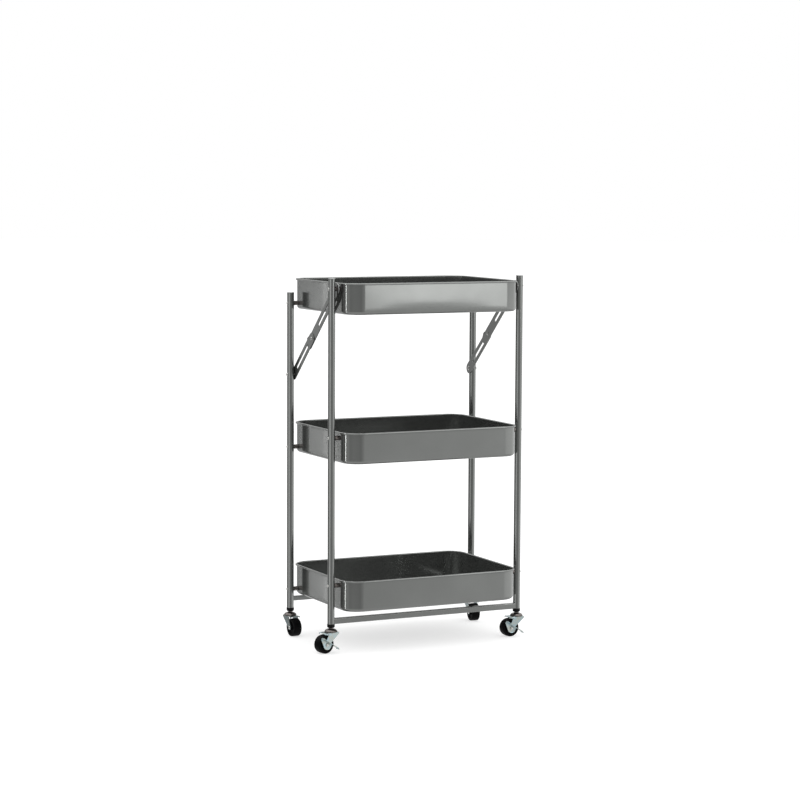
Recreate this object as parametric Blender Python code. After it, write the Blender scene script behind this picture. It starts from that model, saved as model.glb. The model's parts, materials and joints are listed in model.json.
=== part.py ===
"""Three-tier folding pantry cart.

A front frame and a rear frame carry three deep trays between them. Every tray hangs on two front
pins and two rear pins, so the cart folds flat as a parallelogram once the two slotted stays under
the top tray are broken upwards. Four swivel casters carry the frames, and the front two have
foot brakes.

The cart is laid out with x across it, y from the front posts (y = 0) to the rear ones, and z up
from the floor. One empty moves the whole layout, so that the world origin lies on the floor under
the middle of the cart's bounding box.
"""

from math import acos, atan2, copysign, cos, degrees, hypot, pi, radians, sin

import bmesh
import bpy
from mathutils import Matrix, Vector

MM = 0.001

# Clearances
GAP = 0.3 * MM

# Frames
POST_X = 222.0 * MM
POST_SPACING_Y = 213.0 * MM
TUBE_R = 7.5 * MM
TUBE_WALL = 1.2 * MM
TUBE_END_Z = 60.0 * MM
FRONT_POST_TOP_Z = 783.8 * MM
CAP_THICKNESS = 1.2 * MM
CAP_R = 7.9 * MM
PLUG_DEPTH = 9.0 * MM

# Trays and their pins
TRAY_PITCH = 311.0 * MM
BOTTOM_PIVOT_Z = 141.0 * MM
PIVOT_DROP = 40.0 * MM
TRAY_HALF_X = 204.0 * MM
TRAY_FRONT_Y = -44.5 * MM
TRAY_REAR_Y = 249.5 * MM
TRAY_HEIGHT = 66.0 * MM
TRAY_CORNER_R = 38.0 * MM
TRAY_BASE_R = 7.0 * MM
TRAY_WALL = 1.0 * MM
PIVOT_BELOW_RIM = 13.0 * MM
BEAD_R = 2.0 * MM
POST_ABOVE_REAR_PIVOT = 21.8 * MM

# Pins, rivets and holes
SHANK_R = 2.5 * MM
SHOULDER_R = 4.8 * MM
HEAD_R = 3.1 * MM
HEAD_RISE = 1.5 * MM
INNER_HEAD_R = 4.6 * MM
INNER_HEAD_RISE = 1.8 * MM
INNER_HEAD_GAP = 0.9 * MM

# Crossbars
FRONT_BAR = 12.0 * MM
FRONT_BAR_Z = 66.0 * MM
REAR_BAR = 10.0 * MM
REAR_BAR_Z = 77.5 * MM
REAR_BAR_HALF_X = 222.4 * MM
BAR_WALL = 1.2 * MM
BAR_EDGE_R = 1.5 * MM

# Folding stays
STAY_FOOT_DROP = 154.0 * MM
STAY_UPPER_SHARE = 0.572
STAY_HALF_WIDTH = 11.8 * MM
STAY_THICKNESS = 1.6 * MM
STAY_SLOT_HALF = 3.1 * MM
STAY_EAR_R = 12.4 * MM
STAY_OVERRUN = 18.0 * MM
STAY_TAB = 8.0 * MM
UPPER_SLOT = (0.26, 0.715)
LOWER_SLOT = (0.20, 0.80)

# Casters
TRAIL = 18.0 * MM
WHEEL_R = 19.5 * MM
WHEEL_HALF_WIDTH = 9.0 * MM
HUB_HALF_WIDTH = 9.6 * MM
HUB_R = 6.5 * MM
COLLAR_R = 8.1 * MM
COLLAR_HEIGHT = 7.3 * MM
NECK_R = 4.6 * MM
NECK_HEIGHT = 1.8 * MM
RACE_R = 13.8 * MM
RACE_BOTTOM_Z = 44.0 * MM
STEM_R = 3.5 * MM
STEM_LENGTH = 24.0 * MM
FORK_INNER_HALF = 10.0 * MM
FORK_SHEET = 1.6 * MM
FORK_TOP_Z = RACE_BOTTOM_Z - GAP
FORK_LEAD = 13.0 * MM
FORK_VISOR = 23.0 * MM
FORK_EYE_R = 5.0 * MM
AXLE_R = 2.5 * MM
AXLE_HEAD_R = 3.8 * MM
AXLE_HEAD = 1.8 * MM
BRAKE_SHEET = 1.5 * MM
BRAKE_EYE_R = 10.4 * MM
BRAKE_LOBE_R = 4.6 * MM
BRAKE_LOBE = (15.4 * MM, 4.0 * MM)
BRAKE_PEDAL_REACH = 26.0 * MM
BRAKE_PEDAL_BACK = 13.0 * MM
BRAKE_PEDAL_WIDTH = 11.0 * MM
BRAKE_PEDAL_LIFT = 4.4 * MM
BRAKE_SLOPE = radians(32.0)
FRONT_HEADINGS = {"left": radians(191.0), "right": radians(180.0)}
REAR_HEADINGS = {"left": radians(-86.0), "right": radians(-97.0)}

ROUND = 16
SMALL_ROUND = 10
WHEEL_ROUND = 20
CORNER_STEPS = 6

# Derived places
PIVOT_LEVELS = [BOTTOM_PIVOT_Z + level * TRAY_PITCH for level in range(3)]
TRAY_NAMES = ["bottom_tray", "middle_tray", "top_tray"]
TOP_PIVOT_Z = PIVOT_LEVELS[-1]
REAR_POST_TOP_Z = TOP_PIVOT_Z - PIVOT_DROP + POST_ABOVE_REAR_PIVOT
STAY_FOOT_Z = TOP_PIVOT_Z - PIVOT_DROP - STAY_FOOT_DROP
STAY_ANGLE = atan2(STAY_FOOT_Z - TOP_PIVOT_Z, POST_SPACING_Y)
STAY_LENGTH = hypot(POST_SPACING_Y, TOP_PIVOT_Z - STAY_FOOT_Z)
UPPER_STAY = STAY_LENGTH * STAY_UPPER_SHARE
LOWER_STAY = STAY_LENGTH - UPPER_STAY
POST_INNER_X = POST_X - TUBE_R
LOWER_STAY_X = POST_INNER_X - GAP - STAY_THICKNESS / 2
UPPER_STAY_X = LOWER_STAY_X - STAY_THICKNESS - GAP
SHIFT_X = (TRAIL + WHEEL_R - RACE_R) / 2
SHIFT_Y = -(TRAY_FRONT_Y + TRAY_REAR_Y) / 2

PAINT = {"colour": (0.176, 0.182, 0.182, 1.0), "roughness": 0.36, "metallic": 0.15}
ZINC = {"colour": (0.56, 0.60, 0.61, 1.0), "roughness": 0.34, "metallic": 1.0}
RIVET = {"colour": (0.62, 0.63, 0.62, 1.0), "roughness": 0.28, "metallic": 1.0}
CAP = {"colour": (0.44, 0.45, 0.45, 1.0), "roughness": 0.40, "metallic": 0.1}
BLACK = {"colour": (0.012, 0.012, 0.013, 1.0), "roughness": 0.48, "metallic": 0.0}


# ---------------------------------------------------------------- scene helpers

def clear_scene():
    for old in list(bpy.data.objects):
        bpy.data.objects.remove(old, do_unlink=True)


def add_empty(name, location, parent=None):
    empty = bpy.data.objects.new(name, None)
    empty.location = location
    empty.parent = parent
    bpy.context.collection.objects.link(empty)
    return empty


def add_material(name, look):
    material = bpy.data.materials.new(name)
    material.use_nodes = True
    shader = material.node_tree.nodes["Principled BSDF"]
    shader.inputs["Base Color"].default_value = look["colour"]
    shader.inputs["Roughness"].default_value = look["roughness"]
    shader.inputs["Metallic"].default_value = look["metallic"]
    return material


def add_object(name, bm, look, parent, location=(0, 0, 0), rotation=(0, 0, 0)):
    """Turn a finished bmesh into a named, shaded and placed object."""
    bmesh.ops.recalc_face_normals(bm, faces=bm.faces)
    mesh = bpy.data.meshes.new(name)
    bm.to_mesh(mesh)
    bm.free()
    mesh.shade_smooth()
    mesh.set_sharp_from_angle(angle=radians(35))
    obj = bpy.data.objects.new(name, mesh)
    obj.data.materials.append(add_material(name + "_finish", look))
    obj.location = location
    obj.rotation_euler = rotation
    obj.parent = parent
    bpy.context.collection.objects.link(obj)
    return obj


def cut(target, bm, name):
    """Take the bodies in bm, given in the target's own frame, out of the target."""
    bmesh.ops.recalc_face_normals(bm, faces=bm.faces)
    mesh = bpy.data.meshes.new(name)
    bm.to_mesh(mesh)
    bm.free()
    cutter = bpy.data.objects.new(name, mesh)
    cutter.parent = target
    cutter.hide_render = True
    cutter.display_type = "WIRE"
    bpy.context.collection.objects.link(cutter)
    modifier = target.modifiers.new(name, "BOOLEAN")
    modifier.operation = "DIFFERENCE"
    modifier.solver = "EXACT"
    modifier.object = cutter


# ---------------------------------------------------------------- shape helpers

def arc(centre, radius, start, end, steps):
    """Points on an arc from start to end, in degrees, both ends included."""
    points = []
    for step in range(steps + 1):
        angle = radians(start + (end - start) * step / steps)
        points.append((centre[0] + radius * cos(angle), centre[1] + radius * sin(angle)))
    return points


def add_rod(bm, radius, start, end, segments=SMALL_ROUND):
    """A solid cylinder between two points."""
    start, end = Vector(start), Vector(end)
    axis = end - start
    turn = axis.to_track_quat("Z", "Y").to_matrix().to_4x4()
    place = Matrix.Translation((start + end) / 2) @ turn
    bmesh.ops.create_cone(
        bm, cap_ends=True, segments=segments, radius1=radius, radius2=radius,
        depth=axis.length, matrix=place,
    )


def add_box(bm, low, high):
    low, high = Vector(low), Vector(high)
    size = high - low
    place = Matrix.Translation((low + high) / 2) @ Matrix.Diagonal((*size, 1.0))
    bmesh.ops.create_cube(bm, size=1.0, matrix=place)


def lathe(profile, axis="Z", segments=ROUND):
    """Turn a profile of (radius, height) points about an axis into a closed body.

    The profile runs once round the section, or from the axis back to the axis.
    """
    bm = bmesh.new()
    verts = [bm.verts.new((radius, 0, height)) for radius, height in profile]
    on_axis = profile[0][0] == 0 and profile[-1][0] == 0
    pairs = list(zip(verts, verts[1:] + verts[:1]))
    if on_axis:
        pairs.pop()
    edges = [bm.edges.new(pair) for pair in pairs]
    bmesh.ops.spin(
        bm, geom=verts + edges, cent=(0, 0, 0), axis=(0, 0, 1), angle=2 * pi,
        steps=segments, use_merge=True, use_duplicate=False,
    )
    bmesh.ops.remove_doubles(bm, verts=bm.verts, dist=0.001 * MM)
    if axis == "X":
        bmesh.ops.rotate(bm, verts=bm.verts, matrix=Matrix.Rotation(pi / 2, 3, "Y"))
    if axis == "Y":
        bmesh.ops.rotate(bm, verts=bm.verts, matrix=Matrix.Rotation(-pi / 2, 3, "X"))
    return bm


def plate(loops, low, high, normal):
    """A flat plate with the outline loops[0] and holes loops[1:], from low to high on its normal.

    The loops hold (y, z) points where the normal is X and (x, z) points where it is Y.
    """
    bm = bmesh.new()
    for points in loops:
        verts = []
        for a, b in points:
            verts.append(bm.verts.new((low, a, b) if normal == "X" else (a, low, b)))
        for pair in zip(verts, verts[1:] + verts[:1]):
            bm.edges.new(pair)
    bmesh.ops.triangle_fill(bm, edges=bm.edges, use_beauty=True)
    raised = bmesh.ops.extrude_face_region(bm, geom=bm.faces[:])
    moved = [item for item in raised["geom"] if isinstance(item, bmesh.types.BMVert)]
    step = high - low
    bmesh.ops.translate(bm, verts=moved, vec=(step, 0, 0) if normal == "X" else (0, step, 0))
    return bm


def round_hole(centre, radius, steps=SMALL_ROUND):
    return arc(centre, radius, 0, 360 * (steps - 1) / steps, steps - 1)


def slot_outline(start, end, half_width, steps=6):
    """A slot along +Y with round ends centred on start and end."""
    points = arc((end, 0), half_width, -90, 90, steps)
    points += arc((start, 0), half_width, 90, 270, steps)
    return points


def domed_head(radius, rise, base, direction=1, steps=2):
    """Points (radius, height) over a domed head, from its rim to the axis."""
    points = []
    for step in range(steps + 1):
        angle = pi / 2 * step / steps
        across = radius * cos(angle) if step < steps else 0.0
        points.append((across, base + direction * rise * sin(angle)))
    return points


# ---------------------------------------------------------------- frames

def build_post(name, x, y, top_z, hole_levels, parent):
    """One upright: a round tube with cross holes for its pins."""
    inner = TUBE_R - TUBE_WALL
    section = [(inner, TUBE_END_Z), (TUBE_R, TUBE_END_Z), (TUBE_R, top_z), (inner, top_z)]
    post = add_object(name, lathe(section), PAINT, parent, (x, y, 0))
    holes = bmesh.new()
    reach = 2 * TUBE_R
    for level in hole_levels:
        add_rod(holes, SHANK_R + GAP, (-reach, 0, level), (reach, 0, level))
    cut(post, holes, name + "_holes")


def build_cap(name, x, y, top_z, parent):
    """A flat cap whose spigot sits in the top of the tube."""
    spigot = TUBE_R - TUBE_WALL - GAP
    face = top_z + GAP
    profile = [(0, top_z - PLUG_DEPTH), (spigot, top_z - PLUG_DEPTH), (spigot, face), (CAP_R, face),
               (CAP_R, face + CAP_THICKNESS * 0.6), (CAP_R - CAP_THICKNESS * 0.4, face + CAP_THICKNESS),
               (0, face + CAP_THICKNESS)]
    add_object(name, lathe(profile), CAP, parent, (x, y, 0))


def build_foot_plug(name, x, y, parent):
    """The black insert in the foot of the tube, bored for the caster's stem."""
    bore = STEM_R + GAP
    spigot = TUBE_R - TUBE_WALL - GAP
    top = TUBE_END_Z - GAP
    bottom = top - COLLAR_HEIGHT
    taper = 1.4 * MM
    profile = [(bore, bottom), (COLLAR_R - taper, bottom), (COLLAR_R, bottom + taper), (COLLAR_R, top),
               (spigot, top), (spigot, top + 2 * PLUG_DEPTH), (bore, top + 2 * PLUG_DEPTH)]
    add_object(name, lathe(profile), BLACK, parent, (x, y, 0))


def hollow_bar(half_x, size):
    """A square tube along X with rounded edges and open ends."""
    bm = bmesh.new()
    half = size / 2
    add_box(bm, (-half_x, -half, -half), (half_x, half, half))
    along = [edge for edge in bm.edges if abs(edge.verts[0].co.x - edge.verts[1].co.x) > half_x]
    bmesh.ops.bevel(bm, geom=along, offset=BAR_EDGE_R, segments=3, profile=0.5, affect="EDGES")
    return bm


def bar_bore(half_x, size):
    bm = bmesh.new()
    half = size / 2 - BAR_WALL
    add_box(bm, (-2 * half_x, -half, -half), (2 * half_x, half, half))
    return bm


def build_crossbars(front, rear):
    """The front bar meets the posts' inner sides; the rear bar runs behind the rear posts."""
    bar = add_object("front_crossbar", hollow_bar(POST_X - TUBE_R / 2, FRONT_BAR), PAINT, front,
                     (0, 0, FRONT_BAR_Z))
    cut(bar, bar_bore(POST_X, FRONT_BAR), "front_crossbar_bore")
    copes = bmesh.new()
    for side in (-1, 1):
        x = side * POST_X
        add_rod(copes, TUBE_R + GAP, (x, 0, -FRONT_BAR), (x, 0, FRONT_BAR), ROUND)
    cut(bar, copes, "front_crossbar_copes")
    y = POST_SPACING_Y + TUBE_R + GAP + REAR_BAR / 2
    bar = add_object("rear_crossbar", hollow_bar(REAR_BAR_HALF_X, REAR_BAR), PAINT, rear,
                     (0, y - POST_SPACING_Y, REAR_BAR_Z - (TOP_PIVOT_Z - PIVOT_DROP)))
    cut(bar, bar_bore(REAR_BAR_HALF_X, REAR_BAR), "rear_crossbar_bore")


# ---------------------------------------------------------------- trays and pins

def tray_section():
    """The tray's section as (inset, height) pairs, from the underside round to the floor.

    The inset counts inwards from the outer face of the wall, the height up from the underside.
    """
    wall_top = TRAY_HEIGHT - BEAD_R
    bead_inset = TRAY_WALL - BEAD_R
    start = -degrees(acos((0 - bead_inset) / BEAD_R))
    section = []
    for a, b in arc((0, 0), TRAY_BASE_R, 0, 90, 3):
        section.append((TRAY_BASE_R - b, TRAY_BASE_R - a))
    section += arc((bead_inset, wall_top), BEAD_R, start, -360, 5)
    inner_r = TRAY_BASE_R - TRAY_WALL
    for a, b in arc((0, 0), inner_r, 90, 0, 3):
        section.append((TRAY_BASE_R - b, TRAY_BASE_R - a))
    return section


def corner_centre(point, half_y):
    """The centre of the corner arc nearest to a point, the same at every height of the tray."""
    return Vector((copysign(TRAY_HALF_X - TRAY_CORNER_R, point.x),
                   copysign(half_y - TRAY_CORNER_R, point.y)))


def first_ring(bm, half_y, inset, height):
    """One closed ring of edges round the tray's outline."""
    verts = []
    for quarter, (sx, sy) in enumerate(((1, 1), (-1, 1), (-1, -1), (1, -1))):
        centre = corner_centre(Vector((sx, sy)), half_y)
        for x, y in arc(centre, TRAY_CORNER_R - inset, 90 * quarter, 90 * quarter + 90, CORNER_STEPS):
            verts.append(bm.verts.new((x, y, height)))
    return [bm.edges.new(pair) for pair in zip(verts, verts[1:] + verts[:1])]


def next_ring(bm, ring, half_y, inset, height):
    """Extrude a ring to the next inset and height of the section."""
    raised = bmesh.ops.extrude_edge_only(bm, edges=ring)["geom"]
    verts = {item for item in raised if isinstance(item, bmesh.types.BMVert)}
    for vert in verts:
        centre = corner_centre(vert.co, half_y)
        outwards = (vert.co.xy - centre).normalized()
        vert.co = (*(centre + outwards * (TRAY_CORNER_R - inset)), height)
    edges = [item for item in raised if isinstance(item, bmesh.types.BMEdge)]
    return [edge for edge in edges if verts.issuperset(edge.verts)]


def build_tray(name, parent):
    """A pressed tray with a rolled rim; its origin lies on its front pivot's axis."""
    half_y = (TRAY_REAR_Y - TRAY_FRONT_Y) / 2
    bm = bmesh.new()
    section = tray_section()
    ring = first_ring(bm, half_y, *section[0])
    bmesh.ops.edgeloop_fill(bm, edges=ring)
    for inset, height in section[1:]:
        ring = next_ring(bm, ring, half_y, inset, height)
    bmesh.ops.edgeloop_fill(bm, edges=ring)
    base = PIVOT_BELOW_RIM - TRAY_HEIGHT
    shift = Vector((0, (TRAY_REAR_Y + TRAY_FRONT_Y) / 2, base))
    bmesh.ops.translate(bm, verts=bm.verts, vec=shift)
    tray = add_object(name, bm, PAINT, parent)
    holes = bmesh.new()
    for side in (-1, 1):
        for y, z in ((0, 0), (POST_SPACING_Y, -PIVOT_DROP)):
            start = side * (TRAY_HALF_X - 6 * MM)
            end = side * (TRAY_HALF_X + 6 * MM)
            add_rod(holes, SHANK_R + GAP, (start, y, z), (end, y, z))
    cut(tray, holes, name + "_holes")


def pin_profile():
    """A shouldered pivot pin, as (radius, distance outwards from the cart's middle)."""
    inner_face = TRAY_HALF_X - TRAY_WALL - INNER_HEAD_GAP
    tip = inner_face - INNER_HEAD_RISE
    shoulder_in = TRAY_HALF_X + GAP
    shoulder_out = POST_INNER_X - GAP
    head_face = POST_X + TUBE_R + GAP
    profile = [(0, tip), (INNER_HEAD_R * 0.7, tip), (INNER_HEAD_R, tip + INNER_HEAD_RISE * 0.4)]
    profile += [(INNER_HEAD_R, inner_face), (SHANK_R, inner_face), (SHANK_R, shoulder_in)]
    profile += [(SHOULDER_R, shoulder_in), (SHOULDER_R, shoulder_out), (SHANK_R, shoulder_out)]
    profile += [(SHANK_R, head_face)]
    profile += domed_head(HEAD_R, HEAD_RISE, head_face)
    return profile


def build_pins(level_name, front, rear, front_z, rear_z):
    """The four pins that carry one tray, heights given in each frame's own axes."""
    for side, side_name in ((-1, "left"), (1, "right")):
        for parent, place, z in ((front, "front", front_z), (rear, "rear", rear_z)):
            name = f"{level_name}_{place}_{side_name}_pin"
            turn = (0, 0, 0) if side == 1 else (0, 0, pi)
            add_object(name, lathe(pin_profile(), "X", SMALL_ROUND), RIVET, parent, (0, 0, z), turn)


# ---------------------------------------------------------------- stays

def stay_bar(start_r, length, overrun, slot, start_hole, end_hole):
    """A flat bar along +Y from its pivot at the origin to the pivot at length, with a long slot."""
    end = length + overrun
    outline = arc((end, 0), STAY_HALF_WIDTH, -90, 90, 10)
    outline += arc((0, 0), start_r, 90, 270, 10)
    loops = [outline, slot_outline(slot[0] * length, slot[1] * length, STAY_SLOT_HALF)]
    loops.append(round_hole((0, 0), start_hole))
    loops.append(round_hole((length, 0), end_hole))
    return plate(loops, -STAY_THICKNESS / 2, STAY_THICKNESS / 2, "X")


def build_rivet(name, x_inner, x_outer, side, parent, inner_head, outer_head, location=(0, 0, 0)):
    """A rivet along X between two faces, with the heads it is given."""
    profile = []
    if inner_head:
        dome = domed_head(inner_head, 1.4 * MM, x_inner - GAP, -1)
        profile += dome[::-1] + [(SHANK_R, x_inner - GAP)]
    else:
        profile += [(0, x_inner), (SHANK_R, x_inner)]
    if outer_head:
        profile += [(SHANK_R, x_outer + GAP)] + domed_head(outer_head, 1.6 * MM, x_outer + GAP)
    else:
        profile += [(SHANK_R, x_outer), (0, x_outer)]
    turn = (0, 0, 0) if side == 1 else (0, 0, pi)
    return add_object(name, lathe(profile, "X", SMALL_ROUND), RIVET, parent, location, turn)


def build_stay(side, side_name, cart):
    """One two-bar stay from the front top pivot down to the rear post."""
    top = add_empty(f"{side_name}_stay_top_axis", (0, 0, TOP_PIVOT_Z), cart)
    knee_y = UPPER_STAY * cos(STAY_ANGLE)
    knee_z = UPPER_STAY * sin(STAY_ANGLE)
    knee = add_empty(f"{side_name}_stay_knee_axis", (0, knee_y, knee_z), top)
    turn = (STAY_ANGLE, 0, 0)

    bar = stay_bar(STAY_EAR_R, UPPER_STAY, STAY_OVERRUN, UPPER_SLOT, SHOULDER_R + GAP, SHANK_R + GAP)
    upper = add_object(f"{side_name}_stay_upper_bar", bar, PAINT, top, (side * UPPER_STAY_X, 0, 0), turn)
    tab = bmesh.new()
    tab_y = UPPER_STAY + STAY_OVERRUN - STAY_TAB / 2
    tab_z = STAY_HALF_WIDTH + GAP
    back = -side * STAY_THICKNESS / 2
    reach = side * (STAY_THICKNESS * 1.5 + GAP)
    add_box(tab, (min(back, reach), tab_y - STAY_TAB / 2, STAY_HALF_WIDTH - 1.5 * MM),
            (max(back, reach), tab_y + STAY_TAB / 2, tab_z + STAY_THICKNESS))
    notch = bmesh.new()
    low = side * (STAY_THICKNESS / 2)
    high = side * 4 * STAY_THICKNESS
    add_box(notch, (min(low, high), tab_y - STAY_TAB, -STAY_HALF_WIDTH),
            (max(low, high), tab_y + STAY_TAB, tab_z))
    cut(weld(upper, tab, f"{side_name}_stay_tab"), notch, f"{side_name}_stay_tab_notch")

    bar = stay_bar(STAY_HALF_WIDTH, LOWER_STAY, 0, LOWER_SLOT, SHANK_R + GAP, SHANK_R + GAP)
    add_object(f"{side_name}_stay_lower_bar", bar, PAINT, knee, (side * LOWER_STAY_X, 0, 0), turn)

    inner = UPPER_STAY_X - STAY_THICKNESS / 2
    outer = LOWER_STAY_X + STAY_THICKNESS / 2
    build_rivet(f"{side_name}_stay_knee_rivet", inner, outer, side, top, HEAD_R, HEAD_R,
                (0, knee_y, knee_z))
    foot = (0, LOWER_STAY * cos(STAY_ANGLE), LOWER_STAY * sin(STAY_ANGLE))
    inner = LOWER_STAY_X - STAY_THICKNESS / 2
    build_rivet(f"{side_name}_stay_foot_rivet", inner, outer, side, knee, INNER_HEAD_R, 0, foot)


def weld(target, body, name):
    """Add a body, given in the target's own frame, to the target."""
    bmesh.ops.recalc_face_normals(body, faces=body.faces)
    mesh = bpy.data.meshes.new(name)
    body.to_mesh(mesh)
    body.free()
    addition = bpy.data.objects.new(name, mesh)
    addition.parent = target
    addition.hide_render = True
    addition.display_type = "WIRE"
    bpy.context.collection.objects.link(addition)
    modifier = target.modifiers.new(name, "BOOLEAN")
    modifier.operation = "UNION"
    modifier.solver = "EXACT"
    modifier.object = addition
    return addition


# ---------------------------------------------------------------- casters

def build_race(name, parent, location):
    """The fixed upper part of a caster: stem, neck and domed bearing cup."""
    top = TUBE_END_Z - GAP - COLLAR_HEIGHT - GAP
    neck = top - NECK_HEIGHT
    cup = neck - RACE_BOTTOM_Z
    profile = [(0, top + STEM_LENGTH), (STEM_R - 0.8 * MM, top + STEM_LENGTH)]
    profile += [(STEM_R, top + STEM_LENGTH - 1.2 * MM), (STEM_R, top), (NECK_R, top), (NECK_R, neck)]
    for x, z in arc((0, 0), 1.0, 62, 12, 3):
        profile.append((RACE_R * x, RACE_BOTTOM_Z + cup * z / sin(radians(62))))
    profile += [(RACE_R, RACE_BOTTOM_Z + 0.6 * MM), (RACE_R - 0.6 * MM, RACE_BOTTOM_Z)]
    profile += [(0, RACE_BOTTOM_Z)]
    add_object(name, lathe(profile), ZINC, parent, location)


def fork_outline():
    """The fork's cheek in side view, with its visor over the wheel."""
    web = FORK_TOP_Z - FORK_SHEET
    points = [(-FORK_LEAD, FORK_TOP_Z), (FORK_VISOR, FORK_TOP_Z), (FORK_VISOR, web), (FORK_LEAD, web)]
    points += arc((TRAIL, WHEEL_R), FORK_EYE_R, 25, -155, 8)
    points += [(-FORK_LEAD, web - FORK_SHEET)]
    return points[::-1]


def build_fork(name, parent):
    """A pressed fork: two cheeks under one web, bored for the axle."""
    width = FORK_INNER_HALF + FORK_SHEET
    loops = [fork_outline(), round_hole((TRAIL, WHEEL_R), AXLE_R + GAP)]
    fork = add_object(name, plate(loops, -width, width, "Y"), ZINC, parent)
    throat = bmesh.new()
    add_box(throat, (-2 * FORK_LEAD, -FORK_INNER_HALF, -FORK_TOP_Z),
            (2 * FORK_VISOR, FORK_INNER_HALF, FORK_TOP_Z - FORK_SHEET))
    cut(fork, throat, name + "_throat")


def wheel_profile():
    """The wheel's section as (radius, distance along the axle), once round."""
    web = WHEEL_HALF_WIDTH - 2.0 * MM
    side = [(AXLE_R + GAP, HUB_HALF_WIDTH), (HUB_R, HUB_HALF_WIDTH), (HUB_R, web)]
    side += [(HUB_R + 7.0 * MM, web), (HUB_R + 8.2 * MM, WHEEL_HALF_WIDTH)]
    side += [(WHEEL_R - 1.8 * MM, WHEEL_HALF_WIDTH), (WHEEL_R, WHEEL_HALF_WIDTH - 3.6 * MM)]
    return side + [(radius, -along) for radius, along in reversed(side)]


def build_wheel(name, parent):
    add_object(name, lathe(wheel_profile(), "Y", WHEEL_ROUND), BLACK, parent, (TRAIL, 0, WHEEL_R))


def build_axle(name, parent, near):
    """A riveted axle; near is where its inner head face lies on the brake's side."""
    far = FORK_INNER_HALF + FORK_SHEET + GAP
    profile = domed_head(AXLE_HEAD_R, AXLE_HEAD, -far, -1)[::-1]
    profile += [(AXLE_R, -far), (AXLE_R, near)]
    profile += domed_head(AXLE_HEAD_R, AXLE_HEAD, near)
    add_object(name, lathe(profile, "Y", SMALL_ROUND), ZINC, parent, (TRAIL, 0, WHEEL_R))


def build_brake(name, parent):
    """A foot brake: a side plate round the axle with a lobe behind it, under a sloping pedal sheet."""
    low = FORK_INNER_HALF + FORK_SHEET + GAP
    lift = BRAKE_PEDAL_LIFT
    top = lift + BRAKE_SHEET
    outline = arc((0, 0), BRAKE_EYE_R, 168, 318, 12)
    outline += arc(BRAKE_LOBE, BRAKE_LOBE_R, -40, 110, 8)
    outline += [(-BRAKE_EYE_R, top)]
    side = plate([outline, round_hole((0, 0), AXLE_R + GAP)], low, low + BRAKE_SHEET, "Y")
    brake = add_object(name, side, ZINC, parent, (TRAIL, 0, WHEEL_R), (0, -BRAKE_SLOPE, 0))
    pedal = bmesh.new()
    outer = low + BRAKE_PEDAL_WIDTH
    add_box(pedal, (-BRAKE_PEDAL_REACH, low, lift), (BRAKE_PEDAL_BACK, outer, top))
    corners = [edge for edge in pedal.edges
               if all(vert.co.y > low + BRAKE_SHEET for vert in edge.verts)
               and abs(edge.verts[0].co.z - edge.verts[1].co.z) > BRAKE_SHEET / 2]
    bmesh.ops.bevel(pedal, geom=corners, offset=3 * MM, segments=3, profile=0.5, affect="EDGES")
    weld(brake, pedal, name + "_pedal")


def build_caster(name, x, frame, heading, braked):
    """A swivel caster under one post; its wheel trails towards the heading."""
    location = (x, 0, 0)
    build_race(name + "_race", frame, location)
    swivel = add_empty(name + "_swivel_axis", location, frame)
    swivel.rotation_euler = (0, 0, heading)
    build_fork(name + "_fork", swivel)
    build_wheel(name + "_wheel", swivel)
    near = FORK_INNER_HALF + FORK_SHEET + GAP
    if braked:
        build_brake(name + "_brake", swivel)
        near += BRAKE_SHEET + GAP
    build_axle(name + "_axle", swivel, near)


# ---------------------------------------------------------------- the cart

def build_cart():
    cart = add_empty("cart", (SHIFT_X, SHIFT_Y, 0))
    front = add_empty("front_frame", (0, 0, 0), cart)
    top_axis = add_empty("top_tray_axis", (0, 0, TOP_PIVOT_Z), cart)
    rear = add_empty("rear_frame_axis", (0, POST_SPACING_Y, -PIVOT_DROP), top_axis)
    rear_base = TOP_PIVOT_Z - PIVOT_DROP

    for side, side_name in ((-1, "left"), (1, "right")):
        x = side * POST_X
        build_post(f"front_{side_name}_post", x, 0, FRONT_POST_TOP_Z, PIVOT_LEVELS, front)
        build_cap(f"front_{side_name}_cap", x, 0, FRONT_POST_TOP_Z, front)
        build_foot_plug(f"front_{side_name}_foot_plug", x, 0, front)
        build_caster(f"front_{side_name}_caster", x, front, FRONT_HEADINGS[side_name], True)

    rear_floor = add_empty("rear_floor", (0, 0, -rear_base), rear)
    rear_levels = [level - PIVOT_DROP for level in PIVOT_LEVELS] + [STAY_FOOT_Z]
    for side, side_name in ((-1, "left"), (1, "right")):
        x = side * POST_X
        build_post(f"rear_{side_name}_post", x, 0, REAR_POST_TOP_Z, rear_levels, rear_floor)
        build_cap(f"rear_{side_name}_cap", x, 0, REAR_POST_TOP_Z, rear_floor)
        build_foot_plug(f"rear_{side_name}_foot_plug", x, 0, rear_floor)
        build_caster(f"rear_{side_name}_caster", x, rear_floor, REAR_HEADINGS[side_name], False)
        build_rivet(f"rear_{side_name}_stay_rivet", POST_INNER_X, POST_X + TUBE_R, side, rear_floor,
                    0, HEAD_R, (0, 0, STAY_FOOT_Z))
        build_stay(side, side_name, cart)

    build_crossbars(front, rear)
    for tray_name, level in zip(TRAY_NAMES, PIVOT_LEVELS):
        axis = top_axis if level == TOP_PIVOT_Z else add_empty(tray_name + "_axis", (0, 0, level), cart)
        build_tray(tray_name, axis)
        build_pins(tray_name, front, rear_floor, level, level - PIVOT_DROP)


clear_scene()
build_cart()
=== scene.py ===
"""Looks of a three-tier folding pantry cart: lacquered steel trays and tubes on zinc-plated casters."""

from __future__ import annotations

import json
import logging
from collections.abc import Callable, Iterable, Sequence
from dataclasses import dataclass, field
from enum import Enum
from math import atan2, copysign, cos, pi, radians, sin
from typing import Any

import bmesh
import bpy
from bmesh.types import BMEdge, BMesh, BMVert
from mathutils import Matrix, Vector

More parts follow.
